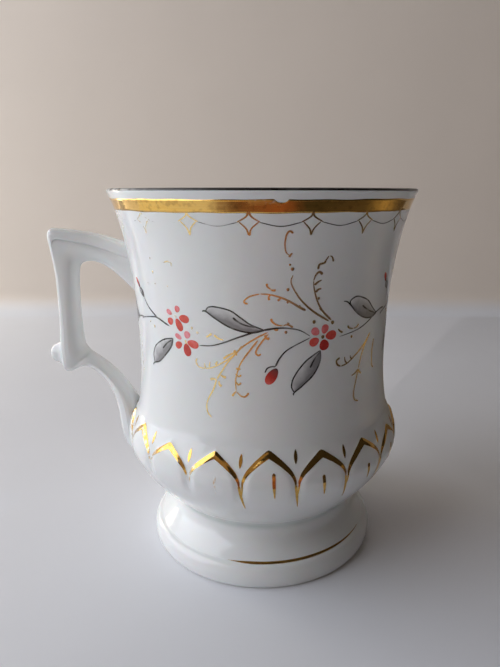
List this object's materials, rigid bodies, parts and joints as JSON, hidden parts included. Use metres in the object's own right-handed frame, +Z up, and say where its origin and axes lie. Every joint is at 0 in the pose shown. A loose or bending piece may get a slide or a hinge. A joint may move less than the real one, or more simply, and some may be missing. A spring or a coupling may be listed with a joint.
{
  "type": "porcelain mug",
  "caption": "Waisted porcelain mug with moulded petals round its bulge, an angular handle, a hollow pedestal foot and gilded lines, for hot drinks.",
  "frame": {"origin": "on the standing plane, in the middle of the mug's whole footprint, bowl and handle together; the bowl's own axis stands at X = +10.65 mm", "axes": "+Z up, -X towards the handle, -Y out of the painted front"},
  "size_m": [0.1053, 0.084, 0.1035],
  "materials": {
    "porcelain": "clear glossy glaze over white hard-paste porcelain",
    "luting_slip": "fired porcelain slip under the glaze",
    "gold": "fired bright gold, brushed on and worn",
    "dark_enamel": "fired dark brown on-glaze enamel",
    "rose_enamel": "fired red and pink on-glaze enamel of the flowers and buds",
    "leaf_enamel": "fired grey on-glaze enamel of the leaves"
  },
  "bodies": {
    "root": {"bowl": "porcelain", "pedestal_foot": "porcelain", "handle": "porcelain", "foot_slip_joint": "luting_slip", "handle_upper_slip_joint": "luting_slip", "handle_lower_slip_joint": "luting_slip", "rim_gold_band": "gold", "lip_line": "dark_enamel", "foot_gold_line": "gold"}
  },
  "joints": []
}
